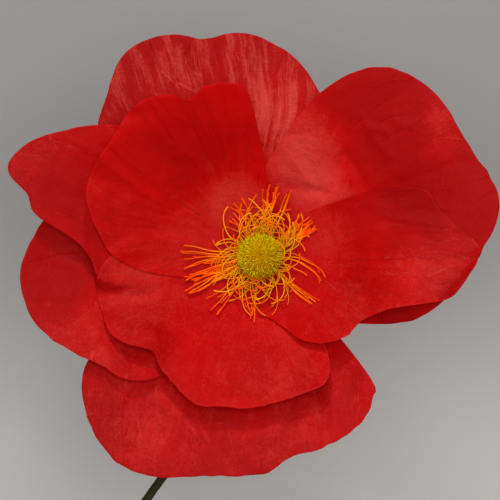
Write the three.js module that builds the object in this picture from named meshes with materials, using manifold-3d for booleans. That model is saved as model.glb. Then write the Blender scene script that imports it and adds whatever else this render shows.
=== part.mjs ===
// Giant paper flower: a poppy head of cut and cupped crepe paper on a tape-wrapped wire stem.
// Lengths are in millimetres and angles in degrees. +Z is up and the flower faces -Y.
// The origin is the centre of the stem's foot, where the flower is fixed.

import * as THREE from 'three';
import { mergeVertices } from 'three/addons/utils/BufferGeometryUtils.js';
import Module from 'manifold-3d';

// Driving dimensions of the paper and of the stack of petal roots
const paperThickness = 0.6;
const glueGap = 0.3;
const rootRadius = 20;
const clawRadius = 52;

// Driving dimensions of the head
const headHeight = 560;
const headSide = 226;
const headForward = 96;
const headTilt = 8;
const cupDepth = 76;
const cupReach = 132;
const layerLift = 11;
const liftReach = 200;
const freeReach = 190;
const curlStart = 110;
const curlReach = 235;
const petalSpan = 100;

// Driving dimensions of the tuft in the middle
const podRadius = 19;
const podHeight = 36;
const podWidestShare = 0.42;
const podNeckRadius = 11;
const podNeckHeight = 14;
const podSpikeCount = 54;
const podSpikeLength = 3.2;
const podSpikeWidth = 2.6;
const podSpikeSunk = 1.9;
const bandThickness = 1.2;
const bandHeightOuter = 3;
const bandRise = 2.4;
const strandSpan = 100;
const strandWidth = 1.9;
const strandThickness = 1;

// Driving dimensions of the back and the stem
const cardRadius = 34;
const cardThickness = 2;
const cupTopRadius = 17;
const cupLength = 44;
const cupWall = 1.8;
const cupFloor = 9;
const stemRadius = 4.3;
const stemClearance = 0.3;
const stemBendForward = 34;
const stemBendSide = 7;

// Fineness of the meshes
const fanDegrees = 5;
const bladeRings = 5;
const strandSteps = 5;
const podFacetCount = 20;
const podArcSteps = 7;
const bandFacetCount = 28;
const cardFacetCount = 36;
const stemFacetCount = 12;
const stemSteps = 44;

const wasm = await Module();
wasm.setup();

const toRadians = Math.PI / 180;
const pitch = paperThickness + glueGap;

// Petals from the back of the flower to the front. Each reach is a list of [angle, radius]
// pairs round the flower's axis, with 0 to the right and 90 up, and the petal ends at the first
// and the last of them. Layer says how many lifts forward of the rearmost petal it lies. Side
// lifts belong to the first and the last edge, and a wave is [count, height, phase]. Radii, lifts
// and wave heights are in hundredths of the petal span.
const petals = [
  {
    name: 'outer_petal_top', layer: 0, color: 0xc23a34,
    reach: [[46, 96], [54, 132], [62, 150], [70, 166], [78, 187], [85, 201], [92, 211], [98, 214],
      [104, 213], [111, 226], [119, 233], [126, 229], [133, 213], [141, 199], [149, 178],
      [158, 140], [166, 92]],
    mid: 100, sideLifts: [4, 4], rimLift: -18, waves: [[7, 3.2, 20], [17, 1.6, 70]],
  },
  {
    name: 'outer_petal_bottom', layer: 0, color: 0xc32b24,
    reach: [[203, 92], [207, 150], [211, 190], [216, 209], [223, 224], [230, 234], [237, 238],
      [246, 229], [256, 215], [265, 209], [272, 206], [278, 194], [286, 192], [295, 189], [303, 183],
      [309, 171], [312, 160], [315, 96]],
    mid: 262, sideLifts: [4, 4], rimLift: 4, waves: [[6, 2.6, 0], [15, 1.2, 40]],
  },
  {
    name: 'outer_petal_right', layer: 1, color: 0xb8201d,
    reach: [[-50, 64], [-42, 86], [-35, 112], [-29, 134], [-23, 157], [-17, 172], [-10, 186],
      [-4, 199], [3, 213], [8, 225], [14, 232], [20, 229], [26, 224], [32, 223], [38, 225],
      [44, 226], [50, 222], [56, 215], [62, 199], [68, 174], [74, 142], [80, 109], [88, 84],
      [98, 66]],
    mid: 22, sideLifts: [7, 7], rimLift: 6, waves: [[5, 2.4, 60], [13, 1.1, 10]],
  },
  {
    name: 'outer_petal_lower_left', layer: 1, color: 0xbd241e,
    reach: [[152, 88], [158, 150], [164, 190], [171, 208], [178, 220], [185, 227], [193, 225],
      [200, 215], [207, 199], [214, 183], [221, 175], [228, 158], [234, 130], [240, 84]],
    mid: 196, sideLifts: [8, 8], rimLift: 9, waves: [[7, 2.4, 30], [16, 1.2, 0]],
  },
  {
    name: 'outer_petal_upper_left', layer: 2, color: 0xc02a25,
    reach: [[118, 82], [126, 128], [134, 170], [141, 196], [147, 218], [153, 240], [159, 252],
      [162, 248], [165, 227], [169, 217], [175, 176], [181, 160], [188, 152], [194, 118], [200, 80]],
    mid: 156, sideLifts: [9, 7], rimLift: 8, waves: [[8, 2.6, 90], [18, 1.2, 20]],
  },
  {
    name: 'inner_petal_bottom', layer: 3.3, color: 0xc8211b,
    reach: [[166, 74], [174, 118], [182, 147], [191, 158], [200, 159], [208, 159], [215, 147],
      [222, 136], [229, 142], [238, 147], [247, 153], [256, 147], [267, 144], [277, 139], [287, 136],
      [297, 135], [302, 126], [308, 98], [314, 70]],
    mid: 242, sideLifts: [4, 5], rimLift: -4, waves: [[6, 2, 50], [14, 1.1, 0]],
  },
  {
    name: 'inner_petal_upper_left', layer: 4.3, color: 0xb50c0b,
    reach: [[76, 62], [84, 74], [90, 112], [94, 153], [100, 165], [108, 167], [114, 162],
      [120, 175], [127, 183], [133, 182], [142, 178], [152, 178], [160, 175], [167, 164],
      [174, 151], [181, 136], [187, 113], [192, 90], [198, 66]],
    mid: 134, sideLifts: [0, 4], rimLift: 7, waves: [[7, 2.2, 10], [17, 1.3, 60]],
  },
  {
    name: 'inner_petal_right', layer: 4.1, color: 0xc1160f,
    reach: [[-92, 58], [-82, 60], [-72, 72], [-62, 92], [-52, 104], [-42, 112], [-32, 115],
      [-22, 133], [-17, 156], [-13, 181], [-6, 196], [1, 207], [4, 203], [9, 187], [15, 175],
      [21, 170], [26, 150], [30, 126], [34, 96], [42, 64]],
    mid: -18, sideLifts: [8, 0], rimLift: -8, waves: [[6, 2.2, 0], [15, 1.1, 80]],
  },
];

// Rows of stamens, each a band cut into strands: [angle, length, height, sway in degrees], with
// lengths and heights in hundredths of the strand span.
const stamenRows = [
  {
    name: 'stamen_fringe_outer', color: 0xf07818, rise: 0.42,
    strands: [[4, 56, 24, 5], [24, 60, 27, -4], [46, 52, 25, 5], [70, 58, 26, -5], [92, 54, 25, 4],
      [112, 50, 24, -4], [134, 46, 24, 5], [158, 62, 26, -4], [178, 74, 30, 4], [198, 72, 30, -4],
      [220, 56, 26, 5], [242, 60, 26, -5], [264, 58, 25, 4], [284, 54, 24, -4], [306, 64, 28, 5],
      [328, 56, 26, -5], [344, 54, 25, 3]],
  },
  {
    name: 'stamen_fringe_middle', color: 0xf29a20, rise: 0.62,
    strands: [[12, 58, 36, -5], [33, 50, 34, 4], [58, 54, 36, -4], [80, 66, 40, 4], [102, 50, 34, -5],
      [124, 44, 32, 4], [146, 50, 34, -4], [168, 62, 38, 4], [188, 60, 38, -4], [210, 54, 35, 4],
      [232, 50, 34, -4], [254, 54, 35, 4], [276, 52, 34, -5], [296, 56, 36, 4], [318, 52, 35, -4],
      [338, 50, 34, 4]],
  },
  {
    name: 'stamen_fringe_inner', color: 0xe8b020, rise: 0.86,
    strands: [[0, 42, 42, 4], [26, 46, 44, -5], [52, 40, 41, 5], [76, 48, 46, -4], [100, 42, 42, 4],
      [126, 38, 40, -5], [152, 42, 42, 4], [178, 46, 44, -4], [204, 44, 43, 5], [230, 42, 42, -5],
      [256, 40, 41, 4], [282, 44, 43, -4], [308, 42, 42, 5], [334, 40, 41, -4]],
  },
];

const frontOfStack = (petals.length - 1) * pitch + paperThickness;
const tuftBase = frontOfStack + glueGap;

function material(color, roughness) {
  return new THREE.MeshStandardMaterial({ color, roughness, metalness: 0, side: THREE.DoubleSide });
}

function smooth(low, high, value) {
  const t = Math.min(Math.max((value - low) / (high - low), 0), 1);
  return t * t * (3 - 2 * t);
}

// Radius of a petal's outline at an angle, on a smooth curve through its reach points.
function reachAt(petal, angle) {
  const points = petal.reach;
  let i = 0;
  while (i < points.length - 2 && angle > points[i + 1][0]) i += 1;
  const slopeAt = (k) => {
    const before = points[Math.max(k - 1, 0)];
    const after = points[Math.min(k + 1, points.length - 1)];
    return (after[1] - before[1]) / (after[0] - before[0]);
  };
  const [a0, r0] = points[i];
  const [a1, r1] = points[i + 1];
  const span = a1 - a0;
  const t = (angle - a0) / span;
  const t2 = t * t;
  const t3 = t2 * t;
  const radius = (2 * t3 - 3 * t2 + 1) * r0 + (t3 - 2 * t2 + t) * span * slopeAt(i)
    + (3 * t2 - 2 * t3) * r1 + (t3 - t2) * span * slopeAt(i + 1);
  return (radius * petalSpan) / 100;
}

// Height of the bowl that all the petals follow, above their flat roots.
function cupHeight(radius) {
  const out = Math.max(radius - rootRadius, 0) / cupReach;
  return cupDepth * (1 - Math.exp(-(out ** 1.6)));
}

// Height of a petal's back face over the head's plane: its root, the bowl, the lift over the
// petals behind it, the curve across its width, the curl of its rim and its waves.
function petalHeight(petal, index, angle, radius) {
  const out = smooth(rootRadius, liftReach, radius);
  const free = smooth(clawRadius, freeReach, radius);
  const unit = petalSpan / 100;
  const turn = (angle - petal.mid) * toRadians;
  const across = 1 - Math.cos(Math.min(Math.max(turn, -1.4), 1.4));
  const along = Math.cos(Math.min(Math.max(turn, -1.2), 1.2));
  let height = index * pitch + cupHeight(radius);
  height += petal.layer * layerLift * out;
  height += petal.sideLifts[turn < 0 ? 0 : 1] * unit * across * free * 2;
  height += petal.rimLift * unit * along * smooth(curlStart, curlReach, radius);
  for (const [count, size, phase] of petal.waves) {
    height += size * unit * free * Math.sin((count * angle + phase) * toRadians);
  }
  return height;
}

// A petal is one sheet of paper: a flat round root and a fan-shaped blade, with both faces
// and a cut edge all round.
function petalGeometry(petal, index) {
  const first = petal.reach[0][0];
  const last = petal.reach[petal.reach.length - 1][0];
  const steps = Math.round((last - first) / fanDegrees);
  const fanAngles = Array.from({ length: steps + 1 }, (_, i) => first + ((last - first) * i) / steps);
  const restSteps = Math.ceil((360 - (last - first)) / 24);
  const restAngles = Array.from(
    { length: restSteps - 1 },
    (_, i) => last + ((360 - (last - first)) * (i + 1)) / restSteps,
  );
  const rootAngles = [...fanAngles, ...restAngles];
  const positions = [];
  const triangles = [];

  const addPoint = (angle, radius) => {
    const height = petalHeight(petal, index, angle, radius);
    const x = radius * Math.cos(angle * toRadians);
    const y = radius * Math.sin(angle * toRadians);
    positions.push(x, y, height, x, y, height + paperThickness);
    return positions.length / 3 - 2;
  };
  // Each point is a pair: the back face's vertex, then the front face's.
  const addFacing = (a, b, c) => {
    triangles.push(a + 1, b + 1, c + 1, a, c, b);
  };
  const addEdge = (a, b) => {
    triangles.push(a, b, b + 1, a, b + 1, a + 1);
  };

  const centre = addPoint(0, 0);
  const root = rootAngles.map((angle) => addPoint(angle, rootRadius));
  root.forEach((point, i) => {
    const next = root[(i + 1) % root.length];
    addFacing(centre, point, next);
    if (i >= steps) addEdge(point, next);
  });

  const clawMiddle = (rootRadius + clawRadius) / 2;
  const rings = [root.slice(0, steps + 1)];
  for (const radius of [clawMiddle, clawRadius]) {
    rings.push(fanAngles.map((angle) => addPoint(angle, radius)));
  }
  for (let k = 1; k <= bladeRings; k += 1) {
    const share = k / bladeRings;
    rings.push(fanAngles.map((angle) => {
      const rim = Math.max(reachAt(petal, angle), clawRadius + 4);
      return addPoint(angle, clawRadius + (rim - clawRadius) * share);
    }));
  }
  for (let k = 0; k + 1 < rings.length; k += 1) {
    for (let i = 0; i < steps; i += 1) {
      addFacing(rings[k][i], rings[k + 1][i], rings[k + 1][i + 1]);
      addFacing(rings[k][i], rings[k + 1][i + 1], rings[k][i + 1]);
    }
    addEdge(rings[k][0], rings[k + 1][0]);
    addEdge(rings[k + 1][steps], rings[k][steps]);
  }
  const rim = rings[rings.length - 1];
  for (let i = 0; i < steps; i += 1) addEdge(rim[i], rim[i + 1]);
  return indexedGeometry(positions, triangles);
}

function indexedGeometry(positions, triangles) {
  const geometry = new THREE.BufferGeometry();
  geometry.setAttribute('position', new THREE.Float32BufferAttribute(positions, 3));
  geometry.setIndex(triangles);
  geometry.computeVertexNormals();
  return geometry;
}

function toSolid(source) {
  const bare = source.clone();
  bare.deleteAttribute('normal');
  bare.deleteAttribute('uv');
  const merged = mergeVertices(bare, 1e-4);
  return new wasm.Manifold(new wasm.Mesh({
    numProp: 3,
    vertProperties: new Float32Array(merged.attributes.position.array),
    triVerts: new Uint32Array(merged.index.array),
  }));
}

function joined(geometries) {
  const solids = geometries.map(toSolid);
  const whole = solids.reduce((sum, solid) => sum.add(solid));
  const mesh = whole.getMesh();
  return indexedGeometry(Array.from(mesh.vertProperties), Array.from(mesh.triVerts));
}

// A turned piece about the head's own axis, from [radius, height] points.
function turned(profile, sides) {
  const points = profile.map(([radius, height]) => new THREE.Vector2(radius, height));
  return new THREE.LatheGeometry(points, sides).rotateX(Math.PI / 2);
}

// Green-yellow ball of fringed paper on a narrow neck.
function podGeometry() {
  const bulge = tuftBase + podNeckHeight;
  const top = tuftBase + podHeight;
  const middle = bulge + (top - bulge) * podWidestShare;
  const profile = [[0, tuftBase], [podNeckRadius, tuftBase], [podNeckRadius, bulge - 1]];
  profile.push([podRadius * 0.93, bulge + (middle - bulge) * 0.55]);
  for (let i = 0; i <= podArcSteps; i += 1) {
    const angle = (i / podArcSteps) * Math.PI / 2;
    const radius = i === podArcSteps ? 0 : podRadius * Math.cos(angle);
    profile.push([radius, middle + (top - middle) * Math.sin(angle)]);
  }
  const ball = turned(profile, podFacetCount);
  const spikes = [];
  const golden = Math.PI * (3 - Math.sqrt(5));
  for (let i = 0; i < podSpikeCount; i += 1) {
    const share = (i + 0.5) / podSpikeCount;
    const lean = Math.acos(1 - share * 0.94);
    const spin = i * golden;
    const out = new THREE.Vector3(
      Math.sin(lean) * Math.cos(spin),
      Math.sin(lean) * Math.sin(spin),
      Math.cos(lean),
    );
    const seat = new THREE.Vector3(
      out.x * podRadius,
      out.y * podRadius,
      middle + out.z * (top - middle),
    );
    const spike = new THREE.ConeGeometry(podSpikeWidth / 2, podSpikeLength + podSpikeSunk, 4);
    spike.translate(0, (podSpikeLength - podSpikeSunk) / 2, 0);
    spike.applyQuaternion(new THREE.Quaternion().setFromUnitVectors(new THREE.Vector3(0, 1, 0), out));
    spike.translate(seat.x, seat.y, seat.z);
    spikes.push(spike);
  }
  return joined([ball, ...spikes]);
}

// One paper strand: it leaves its band outwards, rises, and droops a little at the tip.
function strandGeometry(row, bandMiddle, bandTop, strand) {
  const [angle, lengthShare, heightShare, sway] = strand;
  const length = (lengthShare * strandSpan) / 100;
  const height = (heightShare * strandSpan) / 100;
  const positions = [];
  const triangles = [];
  const climb = height - (bandTop - tuftBase);
  for (let i = 0; i <= strandSteps; i += 1) {
    const t = i / strandSteps;
    const radius = bandMiddle + (length - bandMiddle) * t;
    const rise = climb * (row.rise * t + (1 - row.rise) * t * t * (3 - 2 * t));
    const turn = (angle + sway * Math.sin(t * Math.PI * 1.5)) * toRadians;
    const half = (strandWidth / 2) * (1 - 0.25 * t);
    const z = bandTop - strandThickness * 0.8 + rise;
    const across = new THREE.Vector2(-Math.sin(turn), Math.cos(turn)).multiplyScalar(half);
    const centre = new THREE.Vector2(Math.cos(turn), Math.sin(turn)).multiplyScalar(radius);
    positions.push(centre.x - across.x, centre.y - across.y, z);
    positions.push(centre.x + across.x, centre.y + across.y, z);
    positions.push(centre.x + across.x, centre.y + across.y, z + strandThickness);
    positions.push(centre.x - across.x, centre.y - across.y, z + strandThickness);
  }
  for (let i = 0; i < strandSteps; i += 1) {
    for (let k = 0; k < 4; k += 1) {
      const a = i * 4 + k;
      const b = i * 4 + ((k + 1) % 4);
      triangles.push(a, b, b + 4, a, b + 4, a + 4);
    }
  }
  const tip = strandSteps * 4;
  triangles.push(0, 2, 1, 0, 3, 2, tip, tip + 1, tip + 2, tip, tip + 2, tip + 3);
  return indexedGeometry(positions, triangles);
}

// A band of paper round the pod's neck, cut into strands along its top.
function stamenGeometry(row, place) {
  const inner = podNeckRadius + glueGap + place * (bandThickness + glueGap);
  const outer = inner + bandThickness;
  const top = tuftBase + bandHeightOuter + (stamenRows.length - 1 - place) * bandRise;
  const band = turned([[inner, tuftBase], [outer, tuftBase], [outer, top], [inner, top],
    [inner, tuftBase]], bandFacetCount);
  const strands = row.strands.map((strand) => strandGeometry(row, (inner + outer) / 2, top, strand));
  return joined([band, ...strands]);
}

function cardGeometry() {
  return turned([[0, -glueGap - cardThickness], [cardRadius, -glueGap - cardThickness],
    [cardRadius, -glueGap], [0, -glueGap]], cardFacetCount);
}

const cupTop = -2 * glueGap - cardThickness;
const cupBottom = cupTop - cupLength;
const boreRadius = stemRadius + stemClearance;

// A green paper cup behind the card, with a bore that takes the stem's end.
function cupGeometry() {
  return turned([[0, cupTop - cupFloor], [boreRadius, cupTop - cupFloor], [boreRadius, cupBottom],
    [boreRadius + cupWall, cupBottom], [boreRadius + cupWall * 1.6, cupBottom + cupLength * 0.4],
    [cupTopRadius * 0.8, cupTop - cupLength * 0.2], [cupTopRadius, cupTop], [0, cupTop]], bandFacetCount);
}

const tiltTurn = headTilt * toRadians;
const headPlace = new THREE.Vector3(headSide, -headForward, headHeight);
const headAxis = new THREE.Vector3(0, -Math.cos(tiltTurn), Math.sin(tiltTurn));

function alongHeadAxis(distance) {
  return headPlace.clone().addScaledVector(headAxis, distance);
}

// The stem's path from its foot, as shares of the head's side place and height.
const stemPath = [[0, 0], [0, 0.09], [0.075, 0.24], [0.3, 0.41], [0.49, 0.53], [0.73, 0.67],
  [0.885, 0.8]];

// The stem rises straight from its foot, leans over to the side, then bends forward into the cup.
function stemGeometry() {
  const neckEnd = alongHeadAxis(cupTop - cupFloor - glueGap);
  const neckStart = alongHeadAxis(cupBottom);
  const neckBack = alongHeadAxis(cupBottom - stemBendForward * 0.5);
  const bend = new THREE.Vector3(headSide - stemBendSide, 0, neckStart.z - stemBendForward);
  const path = new THREE.CatmullRomCurve3([
    ...stemPath.map(([side, height]) => new THREE.Vector3(headSide * side, 0, headHeight * height)),
    bend,
    neckBack,
    neckStart,
    neckEnd,
  ]);
  const section = new THREE.Shape();
  section.absarc(0, 0, stemRadius, 0, Math.PI * 2);
  return new THREE.ExtrudeGeometry(section, {
    steps: stemSteps,
    curveSegments: stemFacetCount,
    bevelEnabled: false,
    extrudePath: path,
  });
}

function named(name, geometry, look) {
  const mesh = new THREE.Mesh(geometry, look);
  mesh.name = name;
  return mesh;
}

const head = new THREE.Group();
head.position.copy(headPlace);
head.rotation.x = Math.PI / 2 - tiltTurn;
petals.forEach((petal, index) => {
  head.add(named(petal.name, petalGeometry(petal, index), material(petal.color, 0.85)));
});
stamenRows.slice().reverse().forEach((row, place) => {
  head.add(named(row.name, stamenGeometry(row, place), material(row.color, 0.8)));
});
head.add(named('seed_pod', podGeometry(), material(0xb8a012, 0.85)));
head.add(named('backing_card', cardGeometry(), material(0x7c1512, 0.9)));
head.add(named('stem_cup', cupGeometry(), material(0x2a2c0a, 0.85)));

const flower = new THREE.Group();
flower.add(head);
flower.add(named('stem', stemGeometry(), material(0x2a2c0a, 0.8)));

export default flower;
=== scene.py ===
# %% [markdown]
# # A giant paper flower
# This lesson dresses the measured model of a large paper poppy. The real flower is made from
# rolls of crepe paper: eight cut and stretched petals, a fringed pod, rows of paper stamens,
# and a wire stem wound with tape. The measured solids come first, and every dressed piece is
# built where its solid already stands.

import math

import bpy
import numpy as np
from mathutils import Matrix, Vector


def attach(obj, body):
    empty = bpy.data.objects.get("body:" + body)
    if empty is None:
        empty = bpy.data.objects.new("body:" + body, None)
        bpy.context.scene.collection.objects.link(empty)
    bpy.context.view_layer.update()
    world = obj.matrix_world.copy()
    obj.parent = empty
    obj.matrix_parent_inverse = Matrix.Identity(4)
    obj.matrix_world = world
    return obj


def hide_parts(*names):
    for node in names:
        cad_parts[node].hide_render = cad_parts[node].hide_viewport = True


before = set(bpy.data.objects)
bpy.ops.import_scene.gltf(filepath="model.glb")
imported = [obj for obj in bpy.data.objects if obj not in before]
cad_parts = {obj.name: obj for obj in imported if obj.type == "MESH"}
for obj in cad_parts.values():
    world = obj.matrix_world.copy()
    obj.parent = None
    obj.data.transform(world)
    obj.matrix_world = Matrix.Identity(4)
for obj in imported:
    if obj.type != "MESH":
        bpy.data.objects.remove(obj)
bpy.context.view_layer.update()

# %% [markdown]
# ## The flower's own axes
# The head is easiest to think about face on: u runs to its right, v up, and w towards someone
# who looks at it. The head is tilted up a little, so one matrix turns u, v and w into the
# model's X, Y and Z. Everything in the head is worked out in millimetres and turned at the end.

# %% Place of the head
MM = 0.001
HEAD = Vector((0.226, -0.096, 0.560))
TILT = math.radians(8)
U = Vector((1, 0, 0))
V = Vector((0, math.sin(TILT), math.cos(TILT)))
W = Vector((0, -math.cos(TILT), math.sin(TILT)))
HEAD_TURN = np.array([U, V, W])


def head_points(points):
    """Turns an array of (u, v, w) in millimetres into metres in the model's frame."""
    return np.asarray(points) * MM @ HEAD_TURN + np.array(HEAD)


print("head axis", [round(v, 3) for v in W])

# %% [markdown]
# ## The camera
# The photograph was taken from straight in front of the flower with little perspective, so a
# long lens stands well back along the head's axis. The picture is 500 pixels square, and one
# pixel is 0.95 mm at the petals, which fixes the lens.

# %% Camera
PIXEL_MM = 0.95
PICTURE = 500
POD_PIXEL = (260, 256)
CAMERA_BACK = 3.6
MIDDLE_DEPTH = 60
SENSOR = 36.0

camera = bpy.data.objects.new("camera", bpy.data.cameras.new("camera"))
bpy.context.collection.objects.link(camera)
aim = ((PICTURE / 2 - POD_PIXEL[0]) * PIXEL_MM, (POD_PIXEL[1] - PICTURE / 2) * PIXEL_MM)
camera.location = head_points([aim[0], aim[1], MIDDLE_DEPTH + CAMERA_BACK / MM])
camera.rotation_euler = Matrix((U, V, W)).transposed().to_euler()
camera.data.sensor_width = SENSOR
camera.data.lens = SENSOR * CAMERA_BACK / (PICTURE * PIXEL_MM * MM)
bpy.context.scene.camera = camera
bpy.context.scene.view_settings.view_transform = "Standard"
print("lens", round(camera.data.lens, 1), "mm, camera at", [round(v, 2) for v in camera.location])

# %% [markdown]
# ## Writing shaders as sums
# A finish is a chain of small sums on colours and numbers. One class wraps a socket, so that
# `mask * 0.5 + 0.2` adds its own Math nodes, and one method makes any other node from its type,
# its settings and its inputs.

# %% Shader helper


class Socket:
    """A shader socket that adds Math nodes when it is used in a sum."""

    def __init__(self, tree, socket):
        self.tree, self.socket = tree, socket

    def math(self, operation, other):
        node = self.tree.nodes.new("ShaderNodeMath")
        node.operation = operation
        for slot, term in zip(node.inputs, (self, other)):
            put(self.tree, slot, term)
        return Socket(self.tree, node.outputs[0])

    def __add__(self, other):
        return self.math("ADD", other)

    def __sub__(self, other):
        return self.math("SUBTRACT", other)

    def __mul__(self, other):
        return self.math("MULTIPLY", other)


def put(tree, slot, value):
    """Links a socket to an input, or sets the input's own value."""
    if isinstance(value, Socket):
        tree.links.new(value.socket, slot)
    else:
        slot.default_value = value


class Finish:
    """A material under construction: node() adds one node and gives back its outputs."""

    def __init__(self, name):
        self.material = bpy.data.materials.new(name)
        self.material.use_nodes = True
        self.tree = self.material.node_tree
        self.tree.nodes.clear()

    def node(self, kind, settings=None, out=0, **inputs):
        made = self.tree.nodes.new("ShaderNode" + kind)
        for key, value in (settings or {}).items():
            setattr(made, key, value)
        for key, value in inputs.items():
            put(self.tree, made.inputs[key.replace("_", " ")], value)
        return Socket(self.tree, made.outputs[out])

    def ramp(self, value, stops):
        """A colour for each value, from (place, colour) stops."""
        made = self.tree.nodes.new("ShaderNodeValToRGB")
        elements = made.color_ramp.elements
        while len(elements) < len(stops):
            elements.new(0.5)
        for element, (place, colour) in zip(elements, stops):
            element.position, element.color = place, colour
        put(self.tree, made.inputs[0], value)
        return Socket(self.tree, made.outputs[0])

    def mix(self, share, first, second):
        """A colour between two colours."""
        made = self.tree.nodes.new("ShaderNodeMix")
        made.data_type = "RGBA"
        for slot, value in zip((0, 6, 7), (share, first, second)):
            put(self.tree, made.inputs[slot], value)
        return Socket(self.tree, made.outputs[2])

    def both(self, share, first, second):
        """A surface between two surfaces."""
        made = self.tree.nodes.new("ShaderNodeMixShader")
        for slot, value in zip(made.inputs, (share, first, second)):
            put(self.tree, slot, value)
        return Socket(self.tree, made.outputs[0])

    def bent(self, vector, noise, by):
        """A vector pushed about by a noise, so that a pattern's lines wander."""
        return self.vector_math("ADD", vector, (noise - 0.5) * by)

    def scaled(self, vector, by):
        return self.vector_math("MULTIPLY", vector, by)

    def vector_math(self, operation, first, second):
        made = self.tree.nodes.new("ShaderNodeVectorMath")
        made.operation = operation
        for slot, value in zip(made.inputs, (first, second)):
            put(self.tree, slot, value)
        return Socket(self.tree, made.outputs[0])

    def noise(self, vector, scale, detail=3.0, roughness=0.55):
        return self.node("TexNoise", Vector=vector, Scale=scale, Detail=detail, Roughness=roughness)

    def flat_noise(self, vector, across, along, detail=3.0, roughness=0.6):
        """A noise over a plane, with its own number of cells per unit each way."""
        return self.node("TexNoise", {"noise_dimensions": "2D"}, Scale=1.0, Detail=detail,
                         Roughness=roughness, Vector=self.scaled(vector, (across, along, 1.0)))

    def end(self, shader):
        output = self.tree.nodes.new("ShaderNodeOutputMaterial")
        self.tree.links.new(shader.socket, output.inputs["Surface"])
        return self.material


BLACK, WHITE = (0, 0, 0, 1), (1, 1, 1, 1)


def srgb(red, green, blue):
    """A colour from the 0 to 255 numbers of a picture, as the linear colour that shaders use."""
    linear = [((c / 255 + 0.055) / 1.055) ** 2.4 if c > 10 else c / 255 / 12.92
              for c in (red, green, blue)]
    return (*linear, 1.0)


print("shader helper ready")

# %% [markdown]
# ## Crepe paper
# Crepe paper has a grain of very fine ridges that runs from the root of a petal to its rim, soft
# clouds of thicker and thinner fibre, and pale streaks and creases where it has been stretched.
# Light comes through it, so a Translucent shader takes a share beside the matt surface. The grain
# follows the petal, so the streaks read an attribute named grain, which holds millimetres across
# and along the petal. The clouds read Object coordinates, in metres. A second attribute paints
# light and shade into the colour: above 0 a petal is paler, partly paler paper and partly a
# painted sheen of the lamps, and below 0 it is deeper, a painted shade such as the shadow of a
# petal above. Towards the rim the colour is also painted deeper, a painted shade.

# %% Paper finish
WANDER = 9.0
CRACK_CELLS = (0.07, 0.016, 1.0)
GRAIN_BUMP = 0.0013
PAPER_SHINE = 0.12
LAMPLIT_RED = srgb(255, 12, 4)


def paper(name, base, pale, deep, streaks, through):
    """Matt crepe paper from its middle, pale and deep colours, with streaks along the grain."""
    f = Finish(name)
    grain = f.node("Attribute", {"attribute_name": "grain"}, out=1)
    pale_sheen_and_shade = f.node("Attribute", {"attribute_name": "pale_sheen_and_shade"}, out=2)
    place = f.node("TexCoord", out=3)

    # Patterns: three sizes of cloud, then what runs along the grain.
    clouds = f.noise(place, 62.0, 5.0, 0.62)
    patches = f.noise(place, 17.0, 3.0, 0.55)
    flecks = f.noise(place, 420.0, 4.0, 0.75)
    wandering = f.bent(grain, f.flat_noise(grain, 0.03, 0.025, 1.0), WANDER)
    band = f.flat_noise(wandering, 0.06, 0.008, 2.0, 0.5)
    long_streak = f.flat_noise(wandering, 0.16, 0.016, 4.0)
    fine_streak = f.flat_noise(wandering, 0.8, 0.06)
    ripples = f.flat_noise(grain, 0.10, 0.55)
    fibres = f.flat_noise(grain, 2.2, 0.8, 3.0, 0.7)
    edges = {"feature": "DISTANCE_TO_EDGE", "voronoi_dimensions": "2D"}
    cracks = f.node("TexVoronoi", edges, Scale=1.0,
                    Vector=f.scaled(f.bent(wandering, fine_streak, 6.0), CRACK_CELLS))
    crease = f.ramp(cracks, [(0.0, WHITE), (0.05, BLACK)])
    crease = crease * f.ramp(band, [(0.44, BLACK), (0.62, WHITE)])

    # Colour: light says where the paper is pale, and dark and the rim shade where it is deep.
    # The second attribute adds paler paper and painted sheen above 0, and painted shade below 0.
    light = (long_streak - 0.52) * (1.5 * streaks) + (clouds - 0.5) * 0.7
    light = light + (band - 0.5) * (0.8 * streaks) + crease * 0.3
    light = light + (flecks - 0.5) + (fine_streak - 0.5) * 0.7 * streaks
    light = f.ramp(light + pale_sheen_and_shade * 0.85, [(0.02, BLACK), (0.95, WHITE)])
    dark = f.ramp(patches * 0.8 + clouds * 0.2, [(0.34, WHITE), (0.60, BLACK)])
    # Painted shade: the colour deepens from 70 mm to 220 mm out, for the light falling off towards
    # the rims.
    rim_shade = f.node("MapRange", Value=f.node("SeparateXYZ", out=1, Vector=grain),
                     From_Min=70.0, From_Max=220.0, To_Max=0.75)
    colour = f.mix(dark * 0.5 + rim_shade - pale_sheen_and_shade * 0.6, base, deep)
    colour = f.mix(light, colour, pale)

    # Surface: the grain's ridges, and small facets where the paper is crumpled.
    height = fibres * 0.3 + fine_streak * 0.35 + clouds * 0.7 + flecks * 0.25
    facets = f.node("TexVoronoi", Vector=f.bent(place, clouds, 0.03), Scale=42.0)
    small_facets = f.node("TexVoronoi", Vector=f.bent(place, flecks, 0.006), Scale=120.0)
    crumple = facets * 1.15 + small_facets * 0.6
    height = height + ripples * (pale_sheen_and_shade * 0.8 + 0.2) + crumple * (pale_sheen_and_shade * 0.9 + 0.7)
    height = height + crease * (0.3 + 0.5 * streaks)
    bump = f.node("Bump", Strength=0.6, Distance=GRAIN_BUMP, Height=height)
    surface = f.node("BsdfPrincipled", Base_Color=colour, Roughness=clouds * 0.3 + 0.42,
                     Normal=bump, Specular_IOR_Level=PAPER_SHINE)
    glow = f.node("BsdfTranslucent", Color=f.mix(0.55, colour, LAMPLIT_RED), Normal=bump)
    return f.end(f.both(through, surface, glow))


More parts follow.
